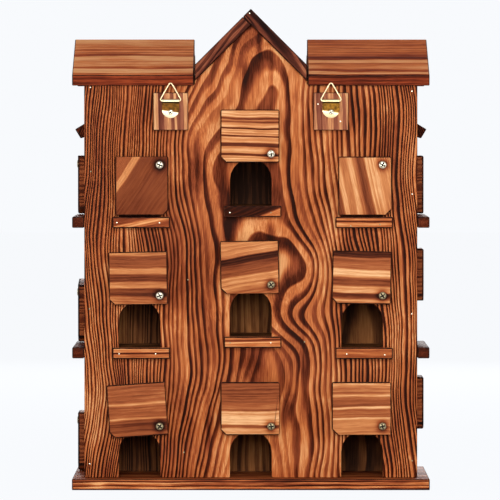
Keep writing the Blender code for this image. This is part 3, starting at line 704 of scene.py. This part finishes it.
def metal(name, low, high, size, roughness, painted_reflection=None):
    """A plated or rolled metal with a faint mottle between two tones. size is the mottle in mm.
    With the last argument, a colour and a place x, z in mm, the metal below that place and the rolled
    fold at the top take that colour as a painted reflection."""
    material, tree = empty_material(name)
    place = place_in_mm(tree)
    mottle = add(tree, "TexNoise", inputs={"Vector": place, "Scale": 1 / size, "Detail": 3.0}).outputs[0]
    tone = add(tree, "ValToRGB", inputs={0: mottle})
    tone.color_ramp.elements[0].position = 0.35
    tone.color_ramp.elements[0].color = linear(low)
    tone.color_ramp.elements[1].position = 0.65
    tone.color_ramp.elements[1].color = linear(high)
    colour = tone.outputs[0]
    # painted reflection: below a slanting line on the foot, and along the rolled fold, the metal takes the
    # pale colour
    if painted_reflection:
        code, along, line = painted_reflection
        edge = line + FOOT_SLOPE * along
        up = add(tree, "SeparateXYZ", inputs={0: place})
        height = add(tree, "Math", {"operation": "MULTIPLY_ADD"},
                     {0: up.outputs["X"], 1: FOOT_SLOPE, 2: up.outputs["Z"]}).outputs[0]
        reflection_mask = add(tree, "MapRange", {"interpolation_type": "SMOOTHSTEP"},
                     {0: height, 1: edge + 1.0, 2: edge - 0.8}).outputs[0]
        # a painted highlight along the rolled knuckle at the top
        fold_highlight = add(tree, "MapRange", inputs={0: up.outputs["Z"], 1: FOLD_HIGHLIGHT_FROM, 2: FOLD_HIGHLIGHT_TO,
                                             3: 0.0, 4: 0.75})
        reflection_mask = add(tree, "Math", {"operation": "MAXIMUM"}, {0: reflection_mask, 1: fold_highlight.outputs[0]}).outputs[0]
        colour = add(tree, "MixRGB", inputs={0: reflection_mask, 1: colour, 2: linear(code)}).outputs[0]
    rough = add(tree, "MapRange", inputs={0: mottle, 3: roughness - 0.06, 4: roughness + 0.08}).outputs[0]
    bump = add(tree, "Bump", inputs={"Height": mottle, "Strength": 0.15, "Distance": 0.0001}).outputs[0]
    shader = add(tree, "BsdfPrincipled", inputs={
        "Base Color": colour, "Metallic": 1.0, "Roughness": rough, "Normal": bump})
    add(tree, "OutputMaterial", inputs={"Surface": shader.outputs[0]})
    return material


zinc = metal("zinc_plated_steel", "CFC6AC", "F0E8D2", 1.6, 0.3)
worn_zinc = metal("worn_zinc_plate", "7C6E54", "A89A78", 1.2, 0.42)
wire_steel = metal("brassed_wire", "C2AA7E", "E8D4AC", 2.0, 0.3)
# near-black painted shade for the inside of a screw's cross recess
recess_painted_shade = metal("painted_shade_in_recess", "1B1815", "2C2823", 0.7, 0.6)

# %% [markdown]
# ## Pan-head screws
#
# A number 8 pan-head screw has a domed head about 8 mm wide with a cross recess. The head is extruded
# ring by ring, and the recess is cut with a Boolean from two crossed blades, which leave a near-black
# material on the faces they cut as painted shade inside the recess. Four models are made: a bright and a
# worn one for the back, a low one for the side covers, whose screws don't stand out in the photograph's
# outline, and a small one for the straps. Each pivot screw is turned to its own angle.


# %% Model a screw
SHANK_LENGTH = 0.0125
TOP = 0.5  # radius of the flat top, as a share of the head's
DOME = ((0.08, 1.46), (0.24, 1.24), (0.3, 1.1), (0.38, 1.0))  # drop by height, then spread, ring by ring


def pan_head(radius, height, shank, plating):
    """A screw standing on z 0 with its head up, and its shank below."""
    bpy.ops.object.select_all(action="DESELECT")
    bpy.ops.mesh.primitive_circle_add(vertices=28, radius=radius * TOP, location=(0, 0, height),
                                      fill_type="NGON")
    screw = bpy.context.object
    bpy.ops.object.mode_set(mode="EDIT")
    bpy.ops.mesh.select_all(action="SELECT")
    rim = radius * TOP
    for drop, spread in DOME:
        bpy.ops.mesh.extrude_region_move(
            TRANSFORM_OT_translate={"value": (0, 0, -drop * height)})
        bpy.ops.transform.resize(value=(spread, spread, 1))
        rim *= spread
    bpy.ops.mesh.extrude_region_move(TRANSFORM_OT_translate={"value": (0, 0, 0)})
    waist = shank / rim
    bpy.ops.transform.resize(value=(waist, waist, 1))
    bpy.ops.mesh.extrude_region_move(TRANSFORM_OT_translate={"value": (0, 0, -SHANK_LENGTH)})
    bpy.ops.mesh.select_all(action="SELECT")
    bpy.ops.mesh.remove_doubles(threshold=0.000001)
    bpy.ops.mesh.normals_make_consistent(inside=False)
    bpy.ops.object.mode_set(mode="OBJECT")
    screw.data.materials.append(plating)
    for turned in (0, 90):
        bpy.ops.object.select_all(action="DESELECT")
        bpy.ops.mesh.primitive_cube_add(size=1, location=(0, 0, height))
        blade = bpy.context.object
        blade.scale = (radius * 1.4, radius * 0.4, height * 1.2)
        blade.rotation_euler.z = math.radians(turned)
        bpy.ops.object.transform_apply(location=True, rotation=True, scale=True)
        # the blade's near-black painted shade passes to the recess faces it cuts
        blade.data.materials.append(recess_painted_shade)
        select_only(screw)
        cutter = screw.modifiers.new("recess", "BOOLEAN")
        cutter.operation = "DIFFERENCE"
        cutter.object = blade
        cutter.material_mode = "TRANSFER"
        bpy.ops.object.modifier_apply(modifier="recess")
        bpy.data.objects.remove(blade)
    bpy.ops.object.transform_apply(location=True, rotation=True, scale=True)
    bpy.ops.object.shade_smooth_by_angle(angle=math.radians(40))
    return screw


def set_in(model, name, place, outward, twist):
    """A copy of a screw or brad with its head facing outward from a wall."""
    piece = model.copy()
    piece.data = model.data.copy()
    piece.name = name
    scene.collection.objects.link(piece)
    facing = Vector(outward).to_track_quat("Z", "Y").to_matrix().to_4x4()
    piece.matrix_world = facing @ Euler((0, 0, math.radians(twist))).to_matrix().to_4x4()
    piece.location = place
    select_only(piece)
    bpy.ops.object.transform_apply(location=True, rotation=True, scale=True)
    return piece


# %% Set the pivot screws
PIVOT_TO_HEAD = 0.00505  # m, from the pivot of a cover to the underside of the head
bright_screw = pan_head(0.0042, 0.0024, 0.002, zinc)
worn_screw = pan_head(0.0042, 0.0024, 0.002, worn_zinc)
low_screw = pan_head(0.0042, 0.0010, 0.002, worn_zinc)
BRIGHT = ("back_left_top", "back_centre_top", "back_right_top", "back_left_mid")
twists = (8, 38, 3, 52, 21, 70, 14, 33, 61, 27, 45, 5, 80, 18, 55)
covers = sorted(n for n in frame["nodes"] if n.startswith("cover_"))
for node, twist in zip(covers, twists):
    outward = Vector(joints[node]["axis"]) * -1
    foot = Vector(joints[node]["pos_m"]) + outward * PIVOT_TO_HEAD
    name = node.replace("cover_", "pivot_screw_")
    model = bright_screw if node.removeprefix("cover_") in BRIGHT else worn_screw
    if "_side_" in node:
        model = low_screw
    screw = set_in(model, name, foot, outward, twist)
    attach(screw, "house")
for model in (bright_screw, worn_screw, low_screw):
    bpy.data.objects.remove(model)
print("pivot screws:", len(covers))

# %% [markdown]
# ## Brads
#
# Thin wire nails hold the boards. Only their heads show, as bright specks along the edges of the panel
# and in the ledges. Each is a small dome, made once and copied. In the panel they are driven nearly
# flush, so a cover passes over them when it turns.

# %% Brads
bpy.ops.object.select_all(action="DESELECT")
bpy.ops.mesh.primitive_cylinder_add(vertices=12, radius=0.0008, depth=0.0007, location=(0, 0, 0))
brad = bpy.context.object
bevel = brad.modifiers.new("dome", "BEVEL")
bevel.width = 0.00025
bevel.segments = 2
bpy.ops.object.modifier_apply(modifier="dome")
bpy.ops.object.shade_smooth_by_angle(angle=math.radians(60))
brad.data.materials.append(zinc)

FLUSH = 0.0002  # m, how far a brad's middle lies behind the panel, or before another board
panel_face = -WALL_FACE + FLUSH
ledge_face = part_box("ledge_back_left_top")[0].y - FLUSH
block_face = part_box("hanger_block_left")[0].y - FLUSH
gable_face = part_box("gable_roof_left")[0].y - FLUSH
BRADS = (
    # x and z in metres, the face they are driven into, and whether the zinc is still bright
    (-0.1745, 0.4365, panel_face, True), (-0.1740, 0.3452, panel_face, False),
    (-0.1753, 0.1958, panel_face, False), (-0.1753, 0.0273, panel_face, True),
    (0.1751, 0.4324, panel_face, True), (0.1755, 0.3207, panel_face, True),
    (0.1750, 0.1904, panel_face, True), (0.1755, 0.0305, panel_face, False),
    (-0.0683, 0.2275, panel_face, False), (0.0584, 0.1600, panel_face, False),
    (-0.0729, 0.0397, panel_face, False),
    (-0.1454, 0.2900, ledge_face, True), (-0.0991, 0.2897, ledge_face, True),
    (-0.0228, 0.3008, ledge_face, True), (0.0218, 0.3008, ledge_face, False),
    (0.1085, 0.2862, ledge_face, False), (0.1401, 0.2879, ledge_face, False),
    (-0.1429, 0.1474, ledge_face, True), (-0.1034, 0.1474, ledge_face, True),
    (-0.0225, 0.1594, ledge_face, False), (0.0217, 0.1594, ledge_face, True),
    (0.1042, 0.1472, ledge_face, True), (0.1453, 0.1464, ledge_face, True),
    (0.0729, 0.4185, block_face, True), (0.0972, 0.3997, block_face, True),
    (-0.0014, 0.5170, gable_face, True),
)
for number, (x, z, y, shiny) in enumerate(BRADS):
    piece = set_in(brad, "brad_%02d" % number, (x, y, z), (0, -1, 0), 0)
    piece.data.materials[0] = zinc if shiny else worn_zinc
    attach(piece, "house")
bpy.data.objects.remove(brad)
print("brads:", len(BRADS))

# %% [markdown]
# ## Hangers
#
# Each hanger is a pale wood block, a folded brass strap screwed to it, and a wire triangle that swings
# in the fold. Block, strap and wire come from the frame; the strap gets soft edges, and the wire is
# rounded off by a subdivision.

# %% Hangers
BLOCK = ("F2C28C", "CF8F5E", "9E5C42", "663225", "2E1A16")
BLOCK_BANDS = {
    # mm left and right of the block's middle
    "left": ((-20, -13.8, 0.02), (-12.6, -7.6, 0.62), (-5.4, 0.2, 0.12), (1.2, 3.8, 0.5), (4.8, 6.4, 0.06),
             (7.4, 10.2, 0.5), (11, 13.6, 0.42), (14.8, 20, 0.04)),
    "right": ((-20, -15.5, 0.14), (-14, -10, 0.42), (-8, -3.5, 0.3), (-1, 2.5, 0.1), (4, 7.5, 0.4),
              (9, 12, 0.16), (13.5, 16, 0.42), (17, 20, 0.06)),
}
BRASS_PAINTED_TONES = {"left": ("4E3010", "E9D8B0"), "right": ("5E4014", "DFC696")}  # upper tone in painted shade, painted reflection
FOOT_TOP = 410  # mm, where the painted reflection on the strap's foot begins
for side, x in (("left", -87), ("right", 87)):
    brass_in_painted_shade, reflection_colour = BRASS_PAINTED_TONES[side]
    # the upper part's dark tones are painted shade where the brass reflects nothing bright
    brass = metal("rolled_brass_" + side, "2A1A08", brass_in_painted_shade, 3.0, 0.36, painted_reflection=(reflection_colour, x, FOOT_TOP))
    wood = torched_pine("pale_pine_block_" + side, pith=(x + 60, -104, 400), turn=(0, 2, 0), ring=5,
                        wave=1.5, wave_size=(20, 60), dark=0.16, cloud=0.2, base=0.04, colours=BLOCK,
                        seed=x * 0.13, bands=BLOCK_BANDS[side], middle=(x, -117, 400))
    dress("hanger_block_" + side, wood, fresh=True, width=0.0007)
    strap = copied("hanger_plate_" + side, "brass_strap_" + side)
    ease(strap, brass, width=0.0002)
    strap.data.materials[1] = brass  # brass doesn't char, so its edges stay brass
    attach(strap, "house")
    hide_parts("hanger_plate_" + side)
    wire = copied("hanger_ring_" + side, "wire_triangle_" + side)
    wire.data.materials.clear()
    wire.data.materials.append(wire_steel)
    smooth = wire.modifiers.new("round", "SUBSURF")
    smooth.levels = smooth.render_levels = 2
    select_only(wire)
    bpy.ops.object.modifier_apply(modifier="round")
    bpy.ops.object.shade_smooth()
    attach(wire, "hanger_ring_" + side)
    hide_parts("hanger_ring_" + side)

STRAP_SCREW_Z = 0.4098
FOLD_HEIGHT = 0.008  # m, the top of the strap, which is folded round the wire
strap_screw = pan_head(0.0028, 0.0013, 0.0012, zinc)
for side, x in (("left", -0.087), ("right", 0.087)):
    plate = frame["nodes"]["hanger_plate_" + side]
    foot = [corner for corner in (plate.matrix_world @ v.co for v in plate.data.vertices)
            if corner.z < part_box("hanger_plate_" + side)[1].z - FOLD_HEIGHT]
    screw = set_in(strap_screw, "strap_screw_" + side, (x, min(v.y for v in foot), STRAP_SCREW_Z),
                   (0, -1, 0), 30)
    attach(screw, "house")
bpy.data.objects.remove(strap_screw)
